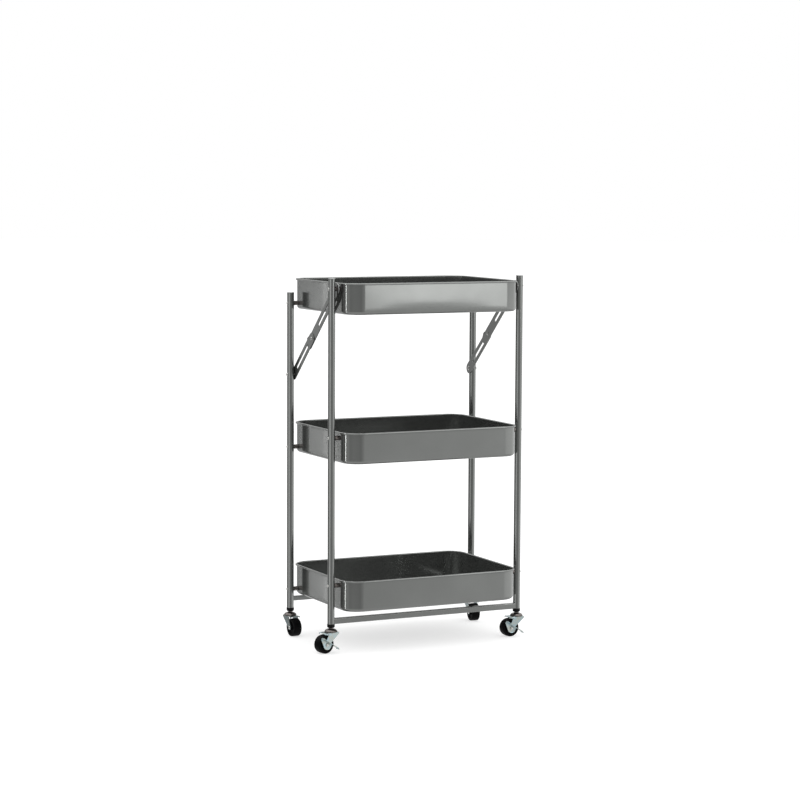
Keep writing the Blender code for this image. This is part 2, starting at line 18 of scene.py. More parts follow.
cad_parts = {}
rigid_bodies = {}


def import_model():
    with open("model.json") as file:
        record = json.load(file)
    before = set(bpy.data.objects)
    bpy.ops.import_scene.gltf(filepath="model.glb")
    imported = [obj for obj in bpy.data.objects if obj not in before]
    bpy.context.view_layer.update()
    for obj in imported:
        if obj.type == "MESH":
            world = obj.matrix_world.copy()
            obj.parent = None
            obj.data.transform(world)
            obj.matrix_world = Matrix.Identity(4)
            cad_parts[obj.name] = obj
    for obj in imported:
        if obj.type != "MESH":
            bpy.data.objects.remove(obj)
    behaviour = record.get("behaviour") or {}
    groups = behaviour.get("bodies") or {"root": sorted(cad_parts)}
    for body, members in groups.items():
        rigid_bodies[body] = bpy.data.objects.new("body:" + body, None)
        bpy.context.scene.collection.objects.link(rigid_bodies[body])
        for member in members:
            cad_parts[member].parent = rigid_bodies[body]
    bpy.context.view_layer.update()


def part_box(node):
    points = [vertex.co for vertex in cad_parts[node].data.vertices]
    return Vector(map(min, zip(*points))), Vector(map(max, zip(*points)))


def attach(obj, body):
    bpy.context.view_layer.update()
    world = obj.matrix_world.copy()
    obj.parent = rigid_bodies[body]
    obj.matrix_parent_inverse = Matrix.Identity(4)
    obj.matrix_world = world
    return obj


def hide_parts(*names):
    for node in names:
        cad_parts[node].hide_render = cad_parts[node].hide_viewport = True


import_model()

MM = 0.001
# Every pin, rivet and axle, and the clearance hole that it passes, as radii.
SHANK = 2.5 * MM
HOLE = 2.8 * MM
# The spread of a noise that is turned into tone and into gloss, and how fine its octaves go.
TONE_SPAN = (0.35, 0.65)
GLOSS_SPAN = (0.3, 0.7)
PATCH_OCTAVES, GRAIN_OCTAVES = 4.0, 2.0
LOG = logging.getLogger("pantry_cart")

Point = tuple[float, float]


class Side(Enum):
    """The left and right sides of the cart, with the sign of their x."""

    LEFT = -1
    RIGHT = 1

    @property
    def word(self) -> str:
        """The side's word in a node's name."""
        return self.name.lower()

    @property
    def turn(self) -> float:
        """The turn about z that takes a right-hand piece to this side."""
        return 0.0 if self is Side.RIGHT else pi


class Upright(Enum):
    """The tall front frame and the shorter rear frame."""

    FRONT = "front"
    REAR = "rear"

    @property
    def body(self) -> str:
        """The CAD body of this frame."""
        return f"{self.value}_frame"


class Tier(Enum):
    """The three trays."""

    BOTTOM = "bottom_tray"
    MIDDLE = "middle_tray"
    TOP = "top_tray"


class Cut(Enum):
    """What a tool body does to a work piece."""

    AWAY = "DIFFERENCE"
    WELD = "UNION"


# ------------------------------------------------------------------ finishes

def srgb(code: str) -> tuple[float, float, float, float]:
    """Turn an sRGB hex colour into the linear colour that a shader takes.

    Args:
        code: six hex digits, such as "8a8c8c".

    Returns:
        Linear red, green, blue and an alpha of one.
    """
    channels = [int(code[start:start + 2], 16) / 255 for start in (0, 2, 4)]
    linear = [c / 12.92 if c <= 0.04045 else ((c + 0.055) / 1.055) ** 2.4 for c in channels]
    return (*linear, 1.0)


def add_node(tree: bpy.types.NodeTree, kind: str, inputs: dict[Any, Any], **settings: Any) -> bpy.types.Node:
    """Add one shader node with its settings, values and links.

    Args:
        tree: the node tree that takes the node.
        kind: the node's type name.
        inputs: a value or an output socket for each input, by name or index.
        settings: the node's own properties.

    Returns:
        The new node.
    """
    node = tree.nodes.new(kind)
    for name, value in settings.items():
        setattr(node, name, value)
    for key, value in inputs.items():
        if isinstance(value, bpy.types.NodeSocket):
            tree.links.new(value, node.inputs[key])
        else:
            node.inputs[key].default_value = value
    return node


@dataclass(frozen=True)
class Finish:
    """A surface finish: one Principled shader with a broken colour, gloss and relief."""

    name: str
    slot: str
    colour: str
    shade: str
    roughness: tuple[float, float]
    metallic: float
    patch_mm: float
    grain_mm: float
    relief_mm: float
    coat: float = 0.0
    coat_roughness: float = 0.1
    specular: float = 0.5

    def material(self) -> bpy.types.Material:
        """Build the finish's material, or find it where it is already made.

        Returns:
            The material.
        """
        found = bpy.data.materials.get(self.name)
        if found:
            return found
        made = bpy.data.materials.new(self.name)
        made.use_nodes = True
        tree = made.node_tree
        shader = tree.nodes["Principled BSDF"]
        shader.inputs["Metallic"].default_value = self.metallic
        shader.inputs["Coat Weight"].default_value = self.coat
        shader.inputs["Coat Roughness"].default_value = self.coat_roughness
        shader.inputs["Specular IOR Level"].default_value = self.specular
        place = add_node(tree, "ShaderNodeTexCoord", {}).outputs["Object"]
        patches = add_node(tree, "ShaderNodeTexNoise", {
            "Vector": place, "Detail": PATCH_OCTAVES, "Scale": 1.0 / (self.patch_mm * MM)}).outputs["Fac"]
        grain = add_node(tree, "ShaderNodeTexNoise", {
            "Vector": place, "Detail": GRAIN_OCTAVES, "Scale": 1.0 / (self.grain_mm * MM)}).outputs["Fac"]
        tone = add_node(tree, "ShaderNodeMapRange", {
            "Value": patches, "From Min": TONE_SPAN[0], "From Max": TONE_SPAN[1]})
        mixed = add_node(tree, "ShaderNodeMix", {
            "Factor": tone.outputs["Result"], "A": srgb(self.colour), "B": srgb(self.shade)}, data_type="RGBA")
        gloss = add_node(tree, "ShaderNodeMapRange", {
            "Value": patches, "From Min": GLOSS_SPAN[0], "From Max": GLOSS_SPAN[1],
            "To Min": self.roughness[0], "To Max": self.roughness[1]})
        relief = add_node(tree, "ShaderNodeBump", {
            "Height": grain, "Strength": 1.0, "Distance": self.relief_mm * MM})
        tree.links.new(mixed.outputs["Result"], shader.inputs["Base Color"])
        tree.links.new(gloss.outputs["Result"], shader.inputs["Roughness"])
        tree.links.new(relief.outputs["Normal"], shader.inputs["Normal"])
        return made


# Metallic lacquer over a baked powder primer on steel sheet and tube. Its flakes mirror the room in a
# satin grey, and the tinted binder between them fills the shade. The faint orange peel of the clear
# coat, in truth 1 to 2 mm across, is drawn 6 mm across so that it shows.
METALLIC_LACQUER = Finish(
    name="graphite_metallic_lacquer", slot="painted_steel", colour="888a88", shade="838583",
    roughness=(0.10, 0.14), metallic=0.82, patch_mm=90.0, grain_mm=6.0, relief_mm=0.001,
    coat=0.3, coat_roughness=0.03)
# The same lacquer on the small pressed caps, with its colour painted lighter: a painted highlight for the
# bright overhead light that falls on their up-facing tops.
CAP_LACQUER_PAINTED_LIGHTER = Finish(
    name="light_metallic_lacquer", slot="cap_finish", colour="b8bab9", shade="aeb0af",
    roughness=(0.24, 0.30), metallic=0.9, patch_mm=12.0, grain_mm=1.6, relief_mm=0.004, coat=0.3)
# Blue-passivated zinc on pressed steel: a cold bright grey with pale blue and straw patches.
ZINC = Finish(
    name="blue_passivated_zinc", slot="zinc_plate", colour="aec2c8", shade="b9bdb6",
    roughness=(0.20, 0.30), metallic=1.0, patch_mm=7.0, grain_mm=0.9, relief_mm=0.008)
# Zinc plate over a deep-drawn cup, greyer and browner where the draw has stretched the plating.
DRAWN_STEEL = Finish(
    name="drawn_cup_steel", slot="zinc_plate", colour="7c7673", shade="686361",
    roughness=(0.18, 0.28), metallic=1.0, patch_mm=5.0, grain_mm=0.8, relief_mm=0.008)
# Bright nickel-plated rivet steel, smooth from the heading die.
RIVET_STEEL = Finish(
    name="nickel_rivet_steel", slot="bright_rivet", colour="dcdcd8", shade="cfcfcc",
    roughness=(0.18, 0.28), metallic=1.0, patch_mm=4.0, grain_mm=0.6, relief_mm=0.006)
# Injection-moulded black polyethylene: a soft sheen with a fine moulded grain.
PLUG_BLACK = Finish(
    name="moulded_black_polyethylene", slot="black_plastic", colour="0a0a0b", shade="070708",
    roughness=(0.34, 0.44), metallic=0.0, patch_mm=5.0, grain_mm=0.5, relief_mm=0.02, specular=0.2)
# Hard black rubber-like tread, matt and almost without shine.
TREAD_BLACK = Finish(
    name="black_wheel_rubber", slot="black_wheel", colour="060607", shade="0a0a0b",
    roughness=(0.42, 0.58), metallic=0.0, patch_mm=9.0, grain_mm=0.7, relief_mm=0.03, specular=0.06)


# ------------------------------------------------------------------ workshop

def arc(centre: Point, radius: float, start: float, end: float, steps: int) -> list[Point]:
    """List points on an arc, both ends included.

    Args:
        centre: the arc's centre.
        radius: its radius.
        start: its first angle in degrees.
        end: its last angle in degrees.
        steps: the number of equal steps between them.

    Returns:
        The points in order.
    """
    angles = [radians(start + (end - start) * step / steps) for step in range(steps + 1)]
    return [(centre[0] + radius * cos(angle), centre[1] + radius * sin(angle)) for angle in angles]


def ring_points(centre: Point, radius: float, steps: int = 32) -> list[Point]:
    """List the points of a full circle, none of them twice."""
    return arc(centre, radius, 0.0, 360.0 * (steps - 1) / steps, steps - 1)


def turned(profile: Sequence[Point], axis: str = "Z", segments: int = 48) -> BMesh:
    """Turn a profile of (radius, height) points round an axis into a closed body.

    Args:
        profile: once round the section, or from the axis back to the axis.
        axis: the axis that the height runs along.
        segments: the number of steps round.

    Returns:
        The turned body.
    """
    bm = bmesh.new()
    verts = [bm.verts.new((radius, 0.0, height)) for radius, height in profile]
    pairs = list(zip(verts, verts[1:] + verts[:1]))
    if profile[0][0] == 0 and profile[-1][0] == 0:
        pairs.pop()
    edges = [bm.edges.new(pair) for pair in pairs]
    bmesh.ops.spin(bm, geom=verts + edges, cent=(0, 0, 0), axis=(0, 0, 1), angle=2 * pi, steps=segments,
                   use_merge=True, use_duplicate=False)
    bmesh.ops.remove_doubles(bm, verts=bm.verts, dist=0.0005 * MM)
    if axis == "X":
        bmesh.ops.rotate(bm, verts=bm.verts, matrix=Matrix.Rotation(pi / 2, 3, "Y"))
    if axis == "Y":
        bmesh.ops.rotate(bm, verts=bm.verts, matrix=Matrix.Rotation(-pi / 2, 3, "X"))
    bmesh.ops.recalc_face_normals(bm, faces=bm.faces)
    return bm


def stamped(loops: Sequence[Sequence[Point]], low: float, high: float, normal: str) -> BMesh:
    """Stamp a flat plate with an outline and holes.

    Args:
        loops: the outline, then the holes, as (y, z) points for normal X and (x, z) points for Y.
        low: where the plate starts on its normal.
        high: where it ends.
        normal: the axis through the plate, X or Y.

    Returns:
        The plate.
    """
    bm = bmesh.new()
    for points in loops:
        verts = [bm.verts.new((low, a, b) if normal == "X" else (a, low, b)) for a, b in points]
        for pair in zip(verts, verts[1:] + verts[:1]):
            bm.edges.new(pair)
    bmesh.ops.triangle_fill(bm, edges=bm.edges, use_beauty=True)
    flat = [edge for edge in bm.edges if len(edge.link_faces) == 2]
    bmesh.ops.dissolve_edges(bm, edges=[edge for edge in flat if not loops[1:]], use_verts=False)
    raised = bmesh.ops.extrude_face_region(bm, geom=bm.faces[:])["geom"]
    moved = [item for item in raised if isinstance(item, BMVert)]
    step = high - low
    bmesh.ops.translate(bm, verts=moved, vec=(step, 0, 0) if normal == "X" else (0, step, 0))
    bmesh.ops.recalc_face_normals(bm, faces=bm.faces)
    return bm


def block(low: Sequence[float], high: Sequence[float]) -> BMesh:
    """Make a box between two corners.

    Args:
        low: its lowest corner.
        high: its highest corner.

    Returns:
        The box.
    """
    bm = bmesh.new()
    size = Vector(high) - Vector(low)
    place = Matrix.Translation((Vector(low) + Vector(high)) / 2) @ Matrix.Diagonal((*size, 1.0))
    bmesh.ops.create_cube(bm, size=1.0, matrix=place)
    return bm


def soften(bm: BMesh, width: float, segments: int = 2, angle: float = 40.0,
           chosen: Callable[[BMEdge], bool] = lambda edge: True) -> BMesh:
    """Round the sharp edges of a body.

    Args:
        bm: the body.
        width: the size of the rounding.
        segments: its steps.
        angle: how sharp an edge is, in degrees, before it is rounded.
        chosen: a test that an edge has to pass as well.

    Returns:
        The same body.
    """
    sharp = [edge for edge in bm.edges
             if edge.is_manifold and edge.calc_face_angle(0.0) > radians(angle) and chosen(edge)]
    bmesh.ops.bevel(bm, geom=sharp, offset=width, offset_type="OFFSET", segments=segments, profile=0.5,
                    affect="EDGES", material=-1, clamp_overlap=True)
    return bm


def placed(bm: BMesh, place: Matrix) -> BMesh:
    """Move a body by a matrix, and give it back."""
    bmesh.ops.transform(bm, matrix=place, verts=bm.verts)
    return bm


def baked(bm: BMesh, dress: Callable[[bpy.types.Object], None]) -> BMesh:
    """Run modifiers on a body and take what they make.

    Args:
        bm: the body, which is used up.
        dress: a function that puts the modifiers on a work object.

    Returns:
        The new body.
    """
    mesh = bpy.data.meshes.new("bench")
    bm.to_mesh(mesh)
    bm.free()
    work = bpy.data.objects.new("bench", mesh)
    bpy.context.scene.collection.objects.link(work)
    dress(work)
    bpy.context.view_layer.update()
    evaluated = work.evaluated_get(bpy.context.evaluated_depsgraph_get())
    result = bmesh.new()
    result.from_mesh(evaluated.to_mesh())
    evaluated.to_mesh_clear()
    bpy.data.objects.remove(work, do_unlink=True)
    return result


def worked(bm: BMesh, tool: BMesh, cut: Cut = Cut.AWAY) -> BMesh:
    """Cut a tool body out of a work piece, or weld it on.

    Args:
        bm: the work piece, which is used up.
        tool: the tool body, which is used up.
        cut: whether to cut away or weld on.

    Returns:
        The worked piece.
    """
    bmesh.ops.recalc_face_normals(tool, faces=tool.faces)
    mesh = bpy.data.meshes.new("tool")
    tool.to_mesh(mesh)
    tool.free()
    tool_object = bpy.data.objects.new("tool", mesh)
    bpy.context.scene.collection.objects.link(tool_object)

    def dress(work: bpy.types.Object) -> None:
        """Put the Boolean on the work object.

        Args:
            work: the object that is cut or welded.
        """
        modifier = work.modifiers.new("work", "BOOLEAN")
        modifier.operation = cut.value
        modifier.solver = "EXACT"
        modifier.object = tool_object

    result = baked(bm, dress)
    bpy.data.objects.remove(tool_object, do_unlink=True)
    return result


def thickened(bm: BMesh, thickness: float) -> BMesh:
    """Give a sheet its thickness, inwards from its outer face.

    Args:
        bm: the sheet, which is used up.
        thickness: its gauge.

    Returns:
        The closed wall.
    """

    def dress(work: bpy.types.Object) -> None:
        """Put the Solidify on the work object.

        Args:
            work: the object that is thickened.
        """
        modifier = work.modifiers.new("gauge", "SOLIDIFY")
        modifier.thickness = thickness
        modifier.offset = -1.0
        modifier.use_even_offset = True

    return baked(bm, dress)


def gathered(parts: Iterable[BMesh]) -> BMesh:
    """Collect separate bodies in one bmesh.

    Args:
        parts: the bodies, which are used up.

    Returns:
        One bmesh that holds them all.
    """
    whole = bmesh.new()
    for part in parts:
        mesh = bpy.data.meshes.new("part")
        part.to_mesh(mesh)
        part.free()
        whole.from_mesh(mesh)
        bpy.data.meshes.remove(mesh)
    return whole


def published(bm: BMesh, name: str, body: str, finish: Finish, stands_for: Iterable[str] = (),
              sharp: float = 32.0) -> bpy.types.Object:
    """Turn a body into a finished piece of the cart.

    Args:
        bm: the body in the cart's own frame, which is used up.
        name: the piece's name.
        body: the CAD body that it moves with.
        finish: its finish.
        stands_for: the CAD nodes that it replaces.
        sharp: the angle in degrees past which an edge is shaded sharp.

    Returns:
        The piece.
    """
    mesh = bpy.data.meshes.new(name)
    bm.to_mesh(mesh)
    bm.free()
    mesh.shade_smooth()
    mesh.set_sharp_from_angle(angle=radians(sharp))
    piece = bpy.data.objects.new(name, mesh)
    bpy.context.scene.collection.objects.link(piece)
    mesh.materials.append(finish.material())
    normals = piece.modifiers.new("flat_faces_stay_flat", "WEIGHTED_NORMAL")
    normals.keep_sharp = True
    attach(piece, body)
    if stands_for:
        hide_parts(*stands_for)
    LOG.info("%s: %d faces on %s, finished in %s", name, len(mesh.polygons), body, finish.name)
    return piece


def middle(node: str) -> Vector:
    """The middle of a CAD node's box."""
    low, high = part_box(node)
    return (low + high) / 2


def dome(radius: float, rise: float, base: float, direction: float = 1.0, steps: int = 7) -> list[Point]:
    """List the points over a domed head, from its rim to the axis.

    Args:
        radius: the radius of its rim.
        rise: how high it stands.
        base: the height of its rim.
        direction: 1 for a dome that rises, and -1 for one that hangs.
        steps: the number of steps over it.

    Returns:
        The (radius, height) points in order.
    """
    points = [(radius * cos(pi / 2 * step / steps), base + direction * rise * sin(pi / 2 * step / steps))
              for step in range(steps)]
    return points + [(0.0, base + direction * rise)]


# ------------------------------------------------------------------ frames

@dataclass
class Post:
    """One upright tube with its cap and its foot plug."""

    upright: Upright
    side: Side
    wall: float = 1.2 * MM
    edge: float = 0.25 * MM
    gap: float = 0.05 * MM
    cap_edge: float = 0.5 * MM
    cap_lap: float = 0.2 * MM
    cap_inset: float = 2.0 * MM
    cap_crown: float = 0.05 * MM
    cap_flat: float = 0.55
    plug_bore: float = 3.8 * MM
    plug_spigot: float = 6.0 * MM
    plug_lip: float = 0.4 * MM
    plug_taper: float = 2.0 * MM
    plug_round: float = 0.5 * MM
    plug_waist: float = 2.6 * MM
    groove_depth: float = 0.35 * MM
    groove_half: float = 0.25 * MM

    @property
    def stem(self) -> str:
        """The start of this post's node names."""
        return f"{self.upright.value}_{self.side.word}"

    def stood(self, profile: Sequence[Point], part: str) -> BMesh:
        """Turn a profile and stand it on the axis of the CAD node that the part names."""
        centre = middle(f"{self.stem}_{part}")
        return placed(turned(profile, segments=64), Matrix.Translation((centre.x, centre.y, 0)))

    def tube(self) -> BMesh:
        """Turn the tube, its ends deburred.

        Returns:
            The tube in its place.
        """
        low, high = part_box(self.stem + "_post")
        radius = (high.y - low.y) / 2
        inner = radius - self.wall
        rim, edge = radius - self.edge, self.edge
        profile = [(inner, low.z), (rim, low.z), (radius, low.z + edge), (radius, high.z - edge),
                   (rim, high.z), (inner, high.z)]
        return self.stood(profile, "post")

    def cap(self) -> BMesh:
        """Turn the flat cap, with a softly rounded edge and a spigot.

        Returns:
            The cap in its place.
        """
        low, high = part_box(self.stem + "_cap")
        radius = (high.x - low.x) / 2
        spigot = radius - self.cap_inset
        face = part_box(self.stem + "_post")[1].z + self.gap
        edge = self.cap_edge
        profile = [(0.0, low.z), (spigot, low.z), (spigot, face), (radius - self.cap_lap, face)]
        profile += arc((radius - edge, high.z - edge), edge, 0, 90, 5)
        profile += [(radius * self.cap_flat, high.z - self.cap_crown), (0.0, high.z)]
        return self.stood(profile, "cap")

    def plug(self) -> BMesh:
        """Turn the black foot plug: a tapered collar with a parting groove, and a bored spigot.

        Returns:
            The plug in its place.
        """
        low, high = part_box(self.stem + "_foot_plug")
        radius = (high.x - low.x) / 2
        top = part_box(self.stem + "_post")[0].z - self.gap
        lip, waist = self.plug_lip, low.z + self.plug_waist
        profile = [(self.plug_bore, low.z)]
        profile += arc((radius - self.plug_taper, low.z + lip), lip, -90, -20, 3)
        profile += arc((radius - self.plug_round, low.z + self.plug_taper), self.plug_round, -30, 0, 3)
        profile += [(radius, waist), (radius - self.groove_depth, waist + self.groove_half),
                    (radius, waist + 2 * self.groove_half)]
        profile += arc((radius - lip, top - lip), lip, 0, 90, 4)
        profile += [(self.plug_spigot, top), (self.plug_spigot, high.z), (self.plug_bore, high.z)]
        return self.stood(profile, "foot_plug")

    def build(self) -> None:
        """Make and dress the tube, cap and plug."""
        body = self.upright.body
        published(self.tube(), self.stem + "_post_tube", body, METALLIC_LACQUER, [self.stem + "_post"])
        # The cap's colour is painted lighter, a painted highlight for the overhead light on its top.
        published(self.cap(), self.stem + "_flat_cap", body, CAP_LACQUER_PAINTED_LIGHTER, [self.stem + "_cap"])
        published(self.plug(), self.stem + "_black_plug", body, PLUG_BLACK, [self.stem + "_foot_plug"])


@dataclass
class Crossbar:
    """A square tube across a frame, welded to its posts."""

    upright: Upright
    wall: float = 1.2 * MM
    edge: float = 1.6 * MM
    overcut: float = 10.0 * MM
    cope_fit: float = 0.05 * MM
    cope_half: float = 30.0 * MM
    weld: float = 1.1 * MM
    weld_least: float = 0.15 * MM
    weld_swell: tuple[float, float] = (0.82, 0.12)
    weld_ripples: int = 6
    # Where a bead lies: its depth and half length, as shares of the post's radius.
    front_bead: tuple[float, float] = (0.92, 0.42)
    rear_bead: tuple[float, float] = (0.95, 0.5)
    rear_bead_height: float = 0.9

    @property
    def node(self) -> str:
        """The bar's CAD node."""
        return f"{self.upright.value}_crossbar"

    def bar(self) -> BMesh:
        """Shape the bar, hollow and with rounded edges, coped round the posts where it meets them.

        Returns:
            The bar in its place.
        """
        low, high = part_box(self.node)
        length = high.x - low.x
        bar = block(low, high)
        soften(bar, self.edge, 4,
               chosen=lambda edge: abs(edge.verts[0].co.x - edge.verts[1].co.x) > length / 2)
        inset = Vector((-self.overcut, self.wall, self.wall))
        bar = worked(bar, block(low + inset, high - inset))
        if self.upright is Upright.FRONT:
            for side in Side:
                post = middle(f"front_{side.word}_post")
                radius = (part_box(f"front_{side.word}_post")[1].y - post.y) + self.cope_fit
                half = self.cope_half
                tool = turned([(0.0, -half), (radius, -half), (radius, half), (0.0, half)])
                place = Matrix.Translation((post.x, post.y, (low.z + high.z) / 2))
                bar = worked(bar, placed(tool, place))
        return bar

    def welds(self) -> BMesh:
        """Lay a small weld bead round each end of the bar, or along it where it passes a post.

        Returns:
            All the beads in their places.
        """
        low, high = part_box(self.node)
        beads = []
        for side in Side:
            post_low, post_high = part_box(f"{self.upright.value}_{side.word}_post")
            post = (post_low + post_high) / 2
            radius = (post_high.y - post_low.y) / 2
            for edge in (-1, 1):
                offset = edge * (high.z - low.z) / 2
                ends = []
                for end in (-1, 1):
                    if self.upright is Upright.FRONT:
                        depth, half = self.front_bead
                        ends.append(Vector((post.x - side.value * radius * depth,
                                            post.y + end * radius * half,
                                            (low.z + high.z) / 2 + offset)))
                    else:
                        depth, half = self.rear_bead
                        ends.append(Vector((post.x + end * radius * half, post.y + radius * depth,
                                            (low.z + high.z) / 2 + offset * self.rear_bead_height)))
                beads.append(self.bead(*ends))
        return gathered(beads)

    def bead(self, start: Vector, end: Vector) -> BMesh:
        """Turn one weld bead between two points, rippled along its length.

        Args:
            start: where it starts.
            end: where it ends.

        Returns:
            The bead in its place.
        """
        along = end - start
        steps = 4 * self.weld_ripples
        profile: list[Point] = [(0.0, 0.0)]
        for step in range(1, steps):
            share = step / steps
            ripple = self.weld_swell[0] + self.weld_swell[1] * cos(2 * pi * self.weld_ripples * share)
            swell = self.weld * ripple * min(1.0, 5 * share, 5 - 5 * share)
            profile.append((max(swell, self.weld_least), along.length * share))
        profile.append((0.0, along.length))
        turn = along.to_track_quat("Z", "Y").to_matrix().to_4x4()
        return placed(turned(profile, segments=16), Matrix.Translation(start) @ turn)

    def build(self) -> None:
        """Make and dress the bar and its welds."""
        published(self.bar(), self.node + "_tube", self.upright.body, METALLIC_LACQUER, [self.node])
        published(self.welds(), self.node + "_welds", self.upright.body, METALLIC_LACQUER, sharp=60.0)


# ------------------------------------------------------------------ trays

@dataclass
class Tray:
    """A pressed sheet-steel tray with rounded corners and a rim rolled outwards."""

    tier: Tier
    gauge: float = 1.0 * MM
    overhang: float = 3.0 * MM
    corner: float = 38.0 * MM
    base: float = 7.0 * MM
    corner_steps: int = 24
    base_steps: int = 7
    rim_steps: int = 12
    rim_end: float = -135.0
    bulge: float = 0.5 * MM
    bulge_rows: int = 8
    bulge_columns: int = 5
    drill_half: float = 9.0 * MM

    def sheet(self) -> BMesh:
        """Press the tray's outer face: a box with rounded uprights and base, open at the top.

        Returns:
            The open sheet.
        """
        low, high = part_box(self.tier.value)
        hem = Vector((self.overhang, self.overhang, 0))
        bm = block(low + hem, high - hem - Vector((0, 0, 2 * self.gauge)))
        top = [face for face in bm.faces if face.normal.z > 0.9]
        bmesh.ops.delete(bm, geom=top, context="FACES_ONLY")
        uprights = [edge for edge in bm.edges if abs(edge.verts[0].co.z - edge.verts[1].co.z) > self.base]
        bmesh.ops.bevel(bm, geom=uprights, offset=self.corner, offset_type="OFFSET",
                        segments=self.corner_steps, profile=0.5, affect="EDGES", material=-1)
        foot = [edge for edge in bm.edges if all(vert.co.z < low.z + 0.1 * MM for vert in edge.verts)
                and len(edge.link_faces) == 2]
        bmesh.ops.bevel(bm, geom=foot, offset=self.base, offset_type="OFFSET", segments=self.base_steps,
                        profile=0.5, affect="EDGES", material=-1)
        return bm

    def bulged(self, bm: BMesh) -> BMesh:
        """Let the two long walls stand out a little in their middles, as thin pressed sheet does.

        Args:
            bm: the open sheet.

        Returns:
            The same sheet.
        """
        low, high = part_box(self.tier.value)
        centre = (low + high) / 2
        reach = (high - low) / 2 - Vector((self.overhang, self.overhang, 0))
        foot, top = low.z + self.base, high.z - 2 * self.gauge
        rows, columns = self.bulge_rows, self.bulge_columns
        cuts = [(Vector((0, 0, foot + (top - foot) * step / rows)), Vector((0, 0, 1)))
                for step in range(1, rows)]
        flat = reach.x - self.corner
        cuts += [(centre + Vector((flat * step / columns, 0, 0)), Vector((1, 0, 0)))
                 for step in range(1 - columns, columns)]
        for point, normal in cuts:
            bmesh.ops.bisect_plane(bm, geom=bm.verts[:] + bm.edges[:] + bm.faces[:], dist=0.001 * MM,
                                   plane_co=point, plane_no=normal)
        for vert in bm.verts:
            rise = (vert.co.z - foot) / (top - foot)
            across = (vert.co.x - centre.x) / flat
            offset = vert.co.y - centre.y
            if abs(abs(offset) - reach.y) < 0.01 * MM and 0 < rise < 1 and abs(across) < 1:
                vert.co.y += copysign(self.bulge * 4 * rise * (1 - rise) * (1 - across ** 2), offset)
        return bm

    def rolled(self, bm: BMesh) -> BMesh:
        """Roll the open edge outwards and down into the rim.

        Args:
            bm: the open sheet.

        Returns:
            The same sheet, its faces pointing outwards.
        """
        low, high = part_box(self.tier.value)
        centre = (low + high) / 2
        reach = (high - low) / 2 - Vector((self.overhang, self.overhang, 0))
        straight = Vector((reach.x - self.corner, reach.y - self.corner))
        curl = self.overhang / 3
        height = high.z - 2 * self.gauge
        ring = [edge for edge in bm.edges if edge.is_boundary]
        for out, up in arc((curl, height), curl, 180, self.rim_end, self.rim_steps)[1:]:
            raised = bmesh.ops.extrude_edge_only(bm, edges=ring)["geom"]
            verts = {item for item in raised if isinstance(item, BMVert)}
            for vert in verts:
                away = vert.co.xy - centre.xy
                pivot = centre.xy + Vector((copysign(min(abs(away.x), straight.x), away.x),
                                            copysign(min(abs(away.y), straight.y), away.y)))
                outwards = (vert.co.xy - pivot).normalized()
                vert.co = (*(pivot + outwards * (self.corner + out)), up)
            ring = [item for item in raised if isinstance(item, BMEdge) and verts.issuperset(item.verts)]
        bmesh.ops.recalc_face_normals(bm, faces=bm.faces)
        floor = min(bm.faces, key=lambda face: face.calc_center_median().z)
        if floor.normal.z > 0:
            bmesh.ops.reverse_faces(bm, faces=bm.faces)
        return bm

    def build(self) -> None:
        """Make and dress the tray, with a hole for each pin."""
        shell = thickened(self.rolled(self.bulged(self.sheet())), self.gauge)
        drills = []
        half = self.drill_half
        for upright in Upright:
            for side in Side:
                pin = middle(f"{self.tier.value}_{upright.value}_{side.word}_pin")
                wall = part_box(self.tier.value)[0 if side is Side.LEFT else 1].x
                bit = turned([(0.0, -half), (HOLE, -half), (HOLE, half), (0.0, half)], "X", 24)
                drills.append(placed(bit, Matrix.Translation((wall, pin.y, pin.z))))
        shell = worked(shell, gathered(drills))
        published(shell, self.tier.value + "_pressing", self.tier.value, METALLIC_LACQUER, [self.tier.value])


